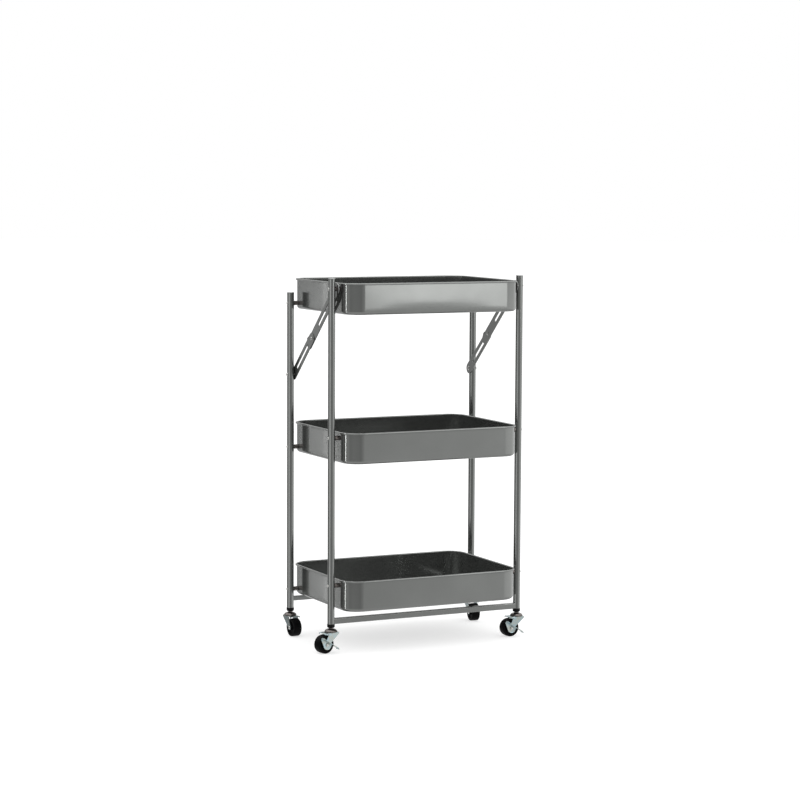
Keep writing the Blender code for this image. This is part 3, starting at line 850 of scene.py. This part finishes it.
@dataclass
class PivotPin:
    """The pin that carries one corner of a tray: rivet head, spacer sleeve and inner washer."""

    tier: Tier
    upright: Upright
    side: Side
    head: float = 3.1 * MM
    head_rise: float = 1.2 * MM
    head_crown: float = 0.93
    flange: float = 0.3 * MM
    tail: float = 2.9 * MM
    tail_rise: float = 1.3 * MM
    washer: float = 4.6 * MM
    washer_edge: float = 0.4 * MM
    washer_back: float = 0.9 * MM
    washer_rim: float = 1.1 * MM
    washer_face: float = 1.4 * MM
    sleeve: float = 4.8 * MM
    chamfer: float = 0.5 * MM
    play: tuple[float, float] = (0.3 * MM, 0.1 * MM)
    sunk: float = 0.2 * MM

    def __post_init__(self) -> None:
        """Name the pin's CAD node and find the middle of the cart."""
        self.node = f"{self.tier.value}_{self.upright.value}_{self.side.word}_pin"
        self.mid_x = (middle("front_left_post").x + middle("front_right_post").x) / 2

    def fitted(self, profile: Sequence[Point]) -> BMesh:
        """Turn a profile about x, with x counted from the cart's middle, and put it in its place.

        Args:
            profile: the (radius, x) points of a right-hand piece.

        Returns:
            The piece on its own side.
        """
        pin = middle(self.node)
        place = Matrix.Translation((self.mid_x, pin.y, pin.z)) @ Matrix.Rotation(self.side.turn, 4, "Z")
        return placed(turned(profile, "X", 40), place)

    def reach(self) -> tuple[float, float, float, float]:
        """Distances from the cart's middle to the tray's wall and the post's two faces.

        Returns:
            The inner face of the wall, its outer face, and the post's inner and outer faces.
        """
        wall = abs(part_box(self.tier.value)[0].x - self.mid_x) - Tray.overhang
        post = middle(f"{self.upright.value}_{self.side.word}_post")
        low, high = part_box(f"{self.upright.value}_{self.side.word}_post")
        radius = (high.y - low.y) / 2
        centre = abs(post.x - self.mid_x)
        return wall - Tray.gauge, wall, centre - radius, centre + radius

    def build(self) -> None:
        """Make and dress the rivet, the sleeve and the washer."""
        inner, outer, post_in, post_out = self.reach()
        face, rim, back = inner - self.washer_face, inner - self.washer_rim, inner - self.washer_back
        rivet = dome(self.tail, self.tail_rise, face, -1.0)[::-1]
        rivet += [(SHANK, face), (SHANK, post_out - self.sunk)]
        rivet += [(self.head, post_out - self.sunk), (self.head, post_out + self.flange)]
        rivet += dome(self.head * self.head_crown, self.head_rise, post_out + self.flange)
        published(self.fitted(rivet), self.node + "_rivet", self.upright.body, RIVET_STEEL, [self.node])
        washer = [(SHANK, face), (self.washer - self.washer_edge, face), (self.washer, rim),
                  (self.washer, back), (SHANK, back)]
        published(self.fitted(washer), self.node + "_washer", self.upright.body, ZINC)
        start, end = outer + self.play[0], post_in - self.play[1]
        shoulder = self.sleeve - self.chamfer
        sleeve = [(SHANK, start), (shoulder, start), (self.sleeve, start + self.chamfer),
                  (self.sleeve, end - self.chamfer), (shoulder, end), (SHANK, end)]
        published(self.fitted(sleeve), self.node + "_sleeve", self.upright.body, DRAWN_STEEL)


# ------------------------------------------------------------------ stays

@dataclass
class Stay:
    """A slotted two-bar stay that locks the fold: upper bar, lower bar and their rivets."""

    side: Side
    gauge: float = 1.6 * MM
    half_width: float = 11.8 * MM
    ear: float = 12.4 * MM
    overrun: float = 18.0 * MM
    slot_half: float = 3.1 * MM
    upper_slot: tuple[float, float] = (0.26, 0.715)
    lower_slot: tuple[float, float] = (0.20, 0.80)
    pivot_hole: float = 5.1 * MM
    edge: float = 0.3 * MM
    gap: float = 0.3 * MM
    tab: float = 8.0 * MM
    tab_root: float = 1.5 * MM
    knee_head: float = 3.6 * MM
    foot_head: float = 4.6 * MM
    inner_rise: float = 1.4 * MM
    outer_rise: float = 1.6 * MM

    @property
    def stem(self) -> str:
        """The start of this stay's node names."""
        return f"{self.side.word}_stay"

    def joints(self) -> tuple[Vector, Vector, Vector]:
        """The middles of the top pivot, the knee rivet and the foot rivet."""
        return (middle(f"top_tray_front_{self.side.word}_pin"), middle(self.stem + "_knee_rivet"),
                middle(self.stem + "_foot_rivet"))

    def bar(self, length: float, start_r: float, end_r: float, overrun: float, slot: tuple[float, float],
            start_hole: float) -> BMesh:
        """Stamp one bar along +Y with a long slot and two pivot holes.

        Args:
            length: the distance between its pivots.
            start_r: the radius of its end at the origin.
            end_r: the radius of its other end.
            overrun: how far it runs past its second pivot.
            slot: where its slot starts and ends, as shares of the length.
            start_hole: the radius of the hole at the origin.

        Returns:
            The bar about the origin.
        """
        end = length + overrun
        outline = arc((end, 0), end_r, -90, 90, 20) + arc((0, 0), start_r, 90, 270, 20)
        window = arc((slot[1] * length, 0), self.slot_half, -90, 90, 10)
        window += arc((slot[0] * length, 0), self.slot_half, 90, 270, 10)
        loops = [outline, window, ring_points((0, 0), start_hole), ring_points((length, 0), HOLE)]
        return soften(stamped(loops, -self.gauge / 2, self.gauge / 2, "X"), self.edge, 2)

    def lock_tab(self, length: float) -> BMesh:
        """Fold the stop tab that laps over the edge of the lower bar when the stay is straight.

        Args:
            length: the distance between the upper bar's pivots.

        Returns:
            The tab, in the upper bar's own frame.
        """
        outwards = self.side.value
        y = length + self.overrun - self.tab
        top = self.half_width + self.gap
        faces = (-outwards * self.gauge / 2, outwards * self.gauge / 2)
        reach = outwards * (self.gauge * 1.5 + self.gap)
        lip = block((min(faces[0], reach), y, top), (max(faces[0], reach), y + self.tab, top + self.gauge))
        root = block((min(faces), y, self.half_width - self.tab_root),
                     (max(faces), y + self.tab, top + self.gauge / 2))
        return soften(worked(lip, root, Cut.WELD), self.edge, 2)

    def rivet(self, node: str, inner_head: float, outer_head: float) -> BMesh:
        """Turn a rivet between the faces of a CAD rivet's box, domed where it has a head.

        Args:
            node: the CAD rivet.
            inner_head: the radius of its head towards the tray, or zero for none.
            outer_head: the radius of its head towards the outside, or zero for none.

        Returns:
            The rivet in its place.
        """
        low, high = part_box(node)
        half = (high.x - low.x) / 2
        profile: list[Point] = [(0.0, -half), (SHANK, -half)]
        if inner_head:
            base = self.inner_rise - half
            profile = dome(inner_head, self.inner_rise, base, -1.0)[::-1] + [(SHANK, base)]
        if outer_head:
            base = half - self.outer_rise
            profile += [(SHANK, base)] + dome(outer_head, self.outer_rise, base)
        else:
            profile += [(SHANK, half), (0.0, half)]
        place = Matrix.Translation((low + high) / 2) @ Matrix.Rotation(self.side.turn, 4, "Z")
        return placed(turned(profile, "X", 36), place)

    def build(self) -> None:
        """Make and dress both bars and the stay's rivets."""
        top, knee, foot = self.joints()
        turn = Matrix.Rotation(atan2(knee.z - top.z, knee.y - top.y), 4, "X")
        lower_x = middle(self.stem + "_lower_bar").x
        upper_x = lower_x - self.side.value * (self.gauge + self.gap)
        upper_length, lower_length = (knee.yz - top.yz).length, (foot.yz - knee.yz).length
        upper = self.bar(upper_length, self.ear, self.half_width, self.overrun, self.upper_slot,
                         self.pivot_hole)
        upper = placed(gathered([upper, self.lock_tab(upper_length)]),
                       Matrix.Translation((upper_x, top.y, top.z)) @ turn)
        lower = placed(self.bar(lower_length, self.half_width, self.half_width, 0.0, self.lower_slot, HOLE),
                       Matrix.Translation((lower_x, knee.y, knee.z)) @ turn)
        upper_body, lower_body = self.stem + "_upper", self.stem + "_lower"
        published(upper, self.stem + "_upper_strap", upper_body, METALLIC_LACQUER, [self.stem + "_upper_bar"])
        published(lower, self.stem + "_lower_strap", lower_body, METALLIC_LACQUER, [self.stem + "_lower_bar"])
        node = self.stem + "_knee_rivet"
        published(self.rivet(node, self.knee_head, self.knee_head), self.stem + "_knee_stud", upper_body,
                  RIVET_STEEL, [node])
        node = self.stem + "_foot_rivet"
        published(self.rivet(node, self.foot_head, 0.0), self.stem + "_foot_stud", lower_body,
                  RIVET_STEEL, [node])
        node = f"rear_{self.side.word}_stay_rivet"
        published(self.rivet(node, 0.0, self.knee_head), node + "_head", Upright.REAR.body,
                  RIVET_STEEL, [node])


# ------------------------------------------------------------------ casters

@dataclass
class Caster:
    """A swivel stem caster: bearing cup, pressed fork, moulded wheel, axle, and a brake in front."""

    upright: Upright
    side: Side
    lead: float = 13.0 * MM
    visor: float = 23.0 * MM
    sheet: float = 1.6 * MM
    inner_half: float = 10.0 * MM
    eye: float = 5.0 * MM
    bend: float = 2.0 * MM
    fork_edge: float = 0.25 * MM
    throat_round: float = 0.7 * MM
    notch: float = 1.5 * MM
    gap: float = 0.3 * MM
    shaft: float = 3.5 * MM
    shaft_tip: tuple[float, float] = (2.7 * MM, 1.2 * MM)
    neck: float = 4.6 * MM
    neck_height: float = 1.8 * MM
    cup: float = 13.8 * MM
    cup_arc: tuple[float, float] = (64.0, 14.0)
    cup_lip: float = 0.5 * MM
    # From the cup's lip to the face over the balls: (radius, height) in mm over the cup's foot.
    cup_foot: tuple[Point, ...] = ((12.4, 0.2), (11.8, 1.6), (9.0, 1.8), (8.0, 0.1), (0.0, 0.1))
    # Half of the wheel's section, from the bore over hub, web and ring: (radius, half width) in mm.
    wheel_side: tuple[Point, ...] = (
        (2.8, 9.6), (5.4, 9.6), (6.0, 9.2), (6.5, 7.2), (7.2, 6.8), (12.6, 6.6), (13.3, 7.0), (14.1, 8.8),
        (14.7, 9.0))
    # The tread: its half width, the round of its shoulder, and its crown as (drop, half width) in mm.
    tread_half: float = 9.0 * MM
    tread_round: float = 1.3 * MM
    tread_inset: float = 1.6 * MM
    tread_crown: tuple[Point, ...] = ((0.1, 5.0), (0.0, 2.0))
    axle_head: float = 3.8 * MM
    axle_rise: float = 1.8 * MM
    lever_gauge: float = 1.5 * MM
    lever_tilt: float = 32.0
    lever_lift: float = 4.4 * MM
    lever_disc: float = 10.4 * MM
    lever_toe: tuple[float, float, float] = (15.4 * MM, 4.0 * MM, 4.6 * MM)
    lever_flange: tuple[float, float] = (0.9 * MM, 0.55 * MM)
    pedal_width: float = 11.0 * MM
    pedal_start: float = 13.0 * MM
    pedal_curl: tuple[float, float] = (-21.4 * MM, 6.0 * MM)
    pedal_round: float = 2.5 * MM

    def __post_init__(self) -> None:
        """Work out the caster's own frame: x along its trail, z up, on the swivel's axis."""
        self.stem = f"{self.upright.value}_{self.side.word}_caster"
        self.swivel_body = f"{self.upright.value}_{self.side.word}_fork"
        self.wheel_body = f"{self.upright.value}_{self.side.word}_wheel"
        race, wheel = middle(self.stem + "_race"), middle(self.stem + "_wheel")
        trail = wheel.xy - race.xy
        self.trail = trail.length
        self.hub_z = wheel.z
        self.top_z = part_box(self.stem + "_fork")[1].z
        self.place = Matrix.Translation((race.x, race.y, 0)) @ Matrix.Rotation(atan2(trail.y, trail.x), 4, "Z")

    @property
    def braked(self) -> bool:
        """Whether this caster has a foot brake."""
        return self.upright is Upright.FRONT

    def on_hub(self, angle: float = 0.0) -> Matrix:
        """The place of a part made about the wheel's axis, tilted by an angle in degrees."""
        return self.place @ Matrix.Translation((self.trail, 0, self.hub_z)) @ Matrix.Rotation(
            -radians(angle), 4, "Y")

    def race(self) -> BMesh:
        """Turn the stem, the neck and the domed cup with its rolled lip.

        Returns:
            The stem and cup in their place.
        """
        low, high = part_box(self.stem + "_race")
        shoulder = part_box(f"{self.upright.value}_{self.side.word}_foot_plug")[0].z - self.gap
        neck = shoulder - self.neck_height
        tip, taper = self.shaft_tip
        profile: list[Point] = [(0.0, high.z), (tip, high.z), (self.shaft, high.z - taper)]
        profile += [(self.shaft, shoulder), (self.neck, shoulder), (self.neck, neck + 0.2 * MM)]
        start, end = self.cup_arc
        profile += [(self.cup * x, low.z + (neck - low.z) * z / sin(radians(start)))
                    for x, z in arc((0, 0), 1.0, start, end, 9)]
        lip = self.cup_lip
        profile += arc((self.cup - lip, low.z + 0.2 * MM + lip), lip, 20, -90, 6)
        profile += [(radius * MM, low.z + height * MM) for radius, height in self.cup_foot]
        return placed(turned(profile, segments=64), self.place)

    def fork(self) -> BMesh:
        """Press the fork: two cheeks under a web whose bends are rounded, bored for the axle.

        Returns:
            The fork in its place.
        """
        width = self.inner_half + self.sheet
        web = self.top_z - self.sheet
        lip = (self.visor - 2 * self.sheet, self.top_z - 2 * self.sheet)
        outline = [(-self.lead, self.top_z)] + arc(lip, 2 * self.sheet, 90, 0, 5)
        outline += arc(lip, 1.1 * self.sheet, 0, 90, 4)
        outline += arc((self.lead + self.notch, web - self.notch), self.notch, 90, 175, 5)
        outline += arc((self.trail, self.hub_z), self.eye, 25, -155, 24)
        outline += [(-self.lead, web - self.sheet)]
        holes = ring_points((self.trail, self.hub_z), HOLE, 24)
        fork = stamped([outline[::-1], holes], -width, width, "Y")
        near = 0.1 * MM

        def along_bend(edge: BMEdge) -> bool:
            """Whether an edge is one of the two long top edges."""
            first, last = (vert.co for vert in edge.verts)
            return min(first.z, last.z) > self.top_z - near and abs(first.y - last.y) < MM

        soften(fork, self.bend, 5, chosen=along_bend)
        throat = block((-2 * self.lead, -self.inner_half, -self.top_z),
                       (2 * self.visor, self.inner_half, web))
        soften(throat, self.throat_round, 3,
               chosen=lambda edge: all(vert.co.z > web - near for vert in edge.verts))
        return placed(soften(worked(fork, throat), self.fork_edge, 2, 50.0), self.place)

    def wheel(self) -> BMesh:
        """Turn the wheel: crowned tread, recessed web, ring and hub.

        Returns:
            The wheel in its place.
        """
        low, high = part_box(self.stem + "_wheel")
        radius = (high.z - low.z) / 2
        shoulder, edge = radius - self.tread_inset, self.tread_round
        side = [(r * MM, y * MM) for r, y in self.wheel_side] + [(shoulder, self.tread_half)]
        side += [(shoulder + edge * sin(radians(turn)), self.tread_half - edge * (1 - cos(radians(turn))))
                 for turn in (20, 40, 60, 80)]
        side += [(radius - drop * MM, y * MM) for drop, y in self.tread_crown]
        profile = side + [(r, -y) for r, y in reversed(side)]
        return placed(turned(profile, "Y", 72), self.on_hub())

    def axle(self) -> BMesh:
        """Turn the axle rivet with a domed head on each side.

        Returns:
            The axle in its place.
        """
        far = self.inner_half + self.sheet + self.gap
        near = far + (self.lever_gauge + self.gap if self.braked else 0.0)
        profile = dome(self.axle_head, self.axle_rise, -far, -1.0)[::-1] + [(SHANK, -far), (SHANK, near)]
        profile += dome(self.axle_head, self.axle_rise, near)
        return placed(turned(profile, "Y", 40), self.on_hub())

    def brake(self) -> BMesh:
        """Press the brake lever: a flanged side plate round the axle under a bent pedal sheet.

        Returns:
            The lever in its place.
        """
        low = self.inner_half + self.sheet + self.gap
        gauge = self.lever_gauge
        top = self.lever_lift + gauge
        x, z, toe = self.lever_toe
        outline = arc((0, 0), self.lever_disc, 168, 318, 20) + arc((x, z), toe, -40, 110, 12)
        outline += [(-self.lever_disc, top)]
        plate = stamped([outline, ring_points((0, 0), HOLE)], low, low + gauge, "Y")
        face = [face for face in plate.faces if face.normal.y > 0.9]
        flange, sunk = self.lever_flange
        bmesh.ops.inset_region(plate, faces=face, thickness=flange, depth=-sunk, use_even_offset=True)
        end, curl = self.pedal_curl
        sheet = [(self.pedal_start, top)] + arc((end, top - curl), curl, 90, 140, 6)
        sheet += arc((end, top - curl), curl - gauge * 0.8, 140, 90, 6)
        sheet += [(self.pedal_start, self.lever_lift + gauge * 0.2)]
        pedal = stamped([sheet], low, low + self.pedal_width, "Y")

        def on_corner(edge: BMEdge) -> bool:
            """Whether an edge is an upright at a free corner of the pedal."""
            first, last = (vert.co for vert in edge.verts)
            outer = min(first.y, last.y) > low + self.pedal_width - 2 * MM
            return outer and abs(first.x - last.x) < 0.5 * MM and abs(first.y - last.y) < 0.1 * MM

        soften(pedal, self.pedal_round, 5, 60.0, on_corner)
        return placed(gathered([soften(plate, 0.2 * MM, 2, 50.0), pedal]), self.on_hub(self.lever_tilt))

    def build(self) -> None:
        """Make and dress the caster's pieces."""
        published(self.race(), self.stem + "_cup", self.upright.body, DRAWN_STEEL, [self.stem + "_race"])
        published(self.fork(), self.stem + "_pressed_fork", self.swivel_body, ZINC, [self.stem + "_fork"])
        published(self.axle(), self.stem + "_axle_rivet", self.swivel_body, RIVET_STEEL,
                  [self.stem + "_axle"])
        published(self.wheel(), self.stem + "_moulded_wheel", self.wheel_body, TREAD_BLACK,
                  [self.stem + "_wheel"])
        if self.braked:
            body = f"{self.upright.value}_{self.side.word}_brake"
            published(self.brake(), self.stem + "_brake_lever", body, ZINC, [self.stem + "_brake"])


# ------------------------------------------------------------------ studio

@dataclass
class Softbox:
    """One soft studio light that faces a target and stays out of the picture."""

    name: str
    place: tuple[float, float, float]
    size: tuple[float, float]
    radiance: float
    target: tuple[float, float, float] = (0.0, 0.0, 0.4)
    only_on: str = ""

    def build(self) -> None:
        """Hang the light, flagged off everything but the pieces whose names hold only_on."""
        data = bpy.data.lights.new(self.name, "AREA")
        data.shape = "RECTANGLE"
        data.size, data.size_y = self.size
        data.energy = self.radiance * pi * self.size[0] * self.size[1]
        light = bpy.data.objects.new(self.name, data)
        light.location = self.place
        aim = Vector(self.target) - Vector(self.place)
        light.rotation_euler = aim.to_track_quat("-Z", "Y").to_euler()
        light.visible_camera = False
        bpy.context.scene.collection.objects.link(light)
        if self.only_on:
            lit = bpy.data.collections.new(self.name + "_lights")
            for piece in bpy.context.scene.collection.objects:
                if self.only_on in piece.name:
                    lit.objects.link(piece)
            light.light_linking.receiver_collection = lit


@dataclass
class Surround:
    """The walls of the studio as the lacquer sees them: pale panels and dark gaps round the cart."""

    # Each panel: its heading in degrees, from -Y towards -X, and how bright it is.
    panels: tuple[tuple[float, float], ...] = (
        (-180, 0.50), (-150, 0.70), (-120, 0.95), (-92, 1.0), (-60, 1.05), (-43, 1.0), (-34, 0.95),
        (-29, 0.80), (-24, 0.62), (-12, 0.46), (2, 0.34), (20, 0.38), (45, 0.40), (70, 0.36), (85, 0.5),
        (100, 0.40), (112, 0.10), (144, 0.08), (151, 0.50), (165, 0.50), (180, 0.50))
    overhead: float = 1.3
    underfoot: float = 0.75
    # How far up and down, as the z of a direction towards the cart, the panels give way to each.
    to_overhead: tuple[float, float] = (-0.22, -0.6)
    to_underfoot: tuple[float, float] = (0.18, 0.5)

    def grey(self, level: float) -> tuple[float, float, float, float]:
        """A neutral colour of one level."""
        return (level, level, level, 1.0)

    def build(self) -> None:
        """Set up the world: the panels by heading, a bright ceiling, and white for the backdrop."""
        world = bpy.data.worlds.new("studio_surround")
        bpy.context.scene.world = world
        world.use_nodes = True
        tree = world.node_tree
        place = add_node(tree, "ShaderNodeTexCoord", {}).outputs["Generated"]
        facing = add_node(tree, "ShaderNodeVectorMath", {0: place, "Scale": -1.0}, operation="SCALE")
        axes = add_node(tree, "ShaderNodeSeparateXYZ", {"Vector": facing.outputs["Vector"]}).outputs
        heading = add_node(tree, "ShaderNodeMath", {0: axes["X"], 1: axes["Y"]}, operation="ARCTAN2")
        share = add_node(tree, "ShaderNodeMapRange", {
            "Value": heading.outputs["Value"], "From Min": -pi, "From Max": pi})
        ramp = add_node(tree, "ShaderNodeValToRGB", {"Fac": share.outputs["Result"]})
        ramp.color_ramp.interpolation = "EASE"
        stops = ramp.color_ramp.elements
        stops[0].color, stops[1].color = self.grey(self.panels[0][1]), self.grey(self.panels[-1][1])
        for angle, level in self.panels[1:-1]:
            stops.new(angle / 360 + 0.5).color = self.grey(level)
        walls = ramp.outputs["Color"]
        for (start, end), level in ((self.to_overhead, self.overhead), (self.to_underfoot, self.underfoot)):
            fade = add_node(tree, "ShaderNodeMapRange", {
                "Value": axes["Z"], "From Min": start, "From Max": end}, interpolation_type="SMOOTHSTEP")
            walls = add_node(tree, "ShaderNodeMix", {
                "Factor": fade.outputs["Result"], "A": walls, "B": self.grey(level)},
                data_type="RGBA").outputs["Result"]
        path = add_node(tree, "ShaderNodeLightPath", {})
        seen = add_node(tree, "ShaderNodeMix", {
            "Factor": path.outputs["Is Camera Ray"], "A": walls, "B": self.grey(1.0)}, data_type="RGBA")
        tree.links.new(seen.outputs["Result"], tree.nodes["Background"].inputs["Color"])


@dataclass
class Studio:
    """A pale floor, the surround, soft lights and the camera."""

    eye: tuple[float, float, float] = (-2.28445, -4.6394, 1.0061)
    yaw: float = 26.42
    pitch: float = 5.42
    roll: float = 0.32
    lens: float = 108.37
    shift: tuple[float, float] = (-0.0112, 0.0)
    floor_size: float = 60.0
    floor_glow: float = 0.62
    softboxes: list[Softbox] = field(default_factory=lambda: [
        Softbox("front_right_softbox", (1.52, -2.9, 1.16), (0.8, 1.35), radiance=1.5, target=(0.1, -0.15, 0.9)),
        Softbox("corner_strip", (-2.96, 0.47, 0.6), (0.12, 2.6), radiance=8.0, only_on="_pressing"),
        Softbox("wall_strip", (-1.35, 2.52, 0.6), (0.015, 2.6), radiance=2.5, only_on="_pressing"),
        Softbox("post_panel", (-2.6, -0.3, 0.7), (2.2, 2.6), radiance=0.45, only_on="_post_tube"),
        Softbox("post_strip", (-2.3, -1.25, 0.7), (0.7, 2.6), radiance=0.8, only_on="_post_tube"),
        Softbox("overhead_softbox", (0.0, 0.1, 2.6), (1.6, 1.2), radiance=1.2, target=(0.0, 0.0, 0.0)),
    ])

    def camera(self) -> None:
        """Set up the camera by its place, heading and lens."""
        data = bpy.data.cameras.new("studio_camera")
        data.lens = self.lens
        data.sensor_width = 36.0
        data.shift_x, data.shift_y = self.shift
        data.clip_end = 200.0
        camera = bpy.data.objects.new("studio_camera", data)
        turn = Matrix.Rotation(-radians(self.yaw), 4, "Z")
        turn = turn @ Matrix.Rotation(radians(90 - self.pitch), 4, "X")
        turn = turn @ Matrix.Rotation(radians(self.roll), 4, "Z")
        camera.matrix_world = Matrix.Translation(self.eye) @ turn
        bpy.context.scene.collection.objects.link(camera)
        bpy.context.scene.camera = camera

    def floor(self) -> None:
        """Lay the pale studio floor, a lit board that takes only a faint shadow."""
        bm = bmesh.new()
        bmesh.ops.create_circle(bm, cap_ends=True, segments=96, radius=self.floor_size / 2)
        mesh = bpy.data.meshes.new("studio_floor")
        bm.to_mesh(mesh)
        bm.free()
        floor = bpy.data.objects.new("studio_floor", mesh)
        bpy.context.scene.collection.objects.link(floor)
        # White acrylic over a light table: it glows evenly, so shadows on it stay faint.
        board = bpy.data.materials.new("white_light_table")
        board.use_nodes = True
        shader = board.node_tree.nodes["Principled BSDF"]
        shader.inputs["Base Color"].default_value = srgb("bcbcbc")
        shader.inputs["Roughness"].default_value = 0.9
        shader.inputs["Specular IOR Level"].default_value = 0.0
        shader.inputs["Emission Color"].default_value = (1.0, 1.0, 1.0, 1.0)
        shader.inputs["Emission Strength"].default_value = self.floor_glow
        mesh.materials.append(board)
        floor.visible_diffuse = False
        floor.visible_glossy = False
        floor.visible_shadow = False

    def build(self) -> None:
        """Set up the whole studio."""
        bpy.context.scene.view_settings.view_transform = "Standard"
        Surround().build()
        self.floor()
        for softbox in self.softboxes:
            softbox.build()
        self.camera()


def main() -> None:
    """Build every sub-assembly of the cart in order, then the studio."""
    logging.basicConfig(level=logging.INFO, format="%(message)s")
    for upright in Upright:
        for side in Side:
            Post(upright, side).build()
            Caster(upright, side).build()
        Crossbar(upright).build()
    for tier in Tier:
        Tray(tier).build()
        for upright in Upright:
            for side in Side:
                PivotPin(tier, upright, side).build()
    for side in Side:
        Stay(side).build()
    Studio().build()


if __name__ == "__main__":
    main()
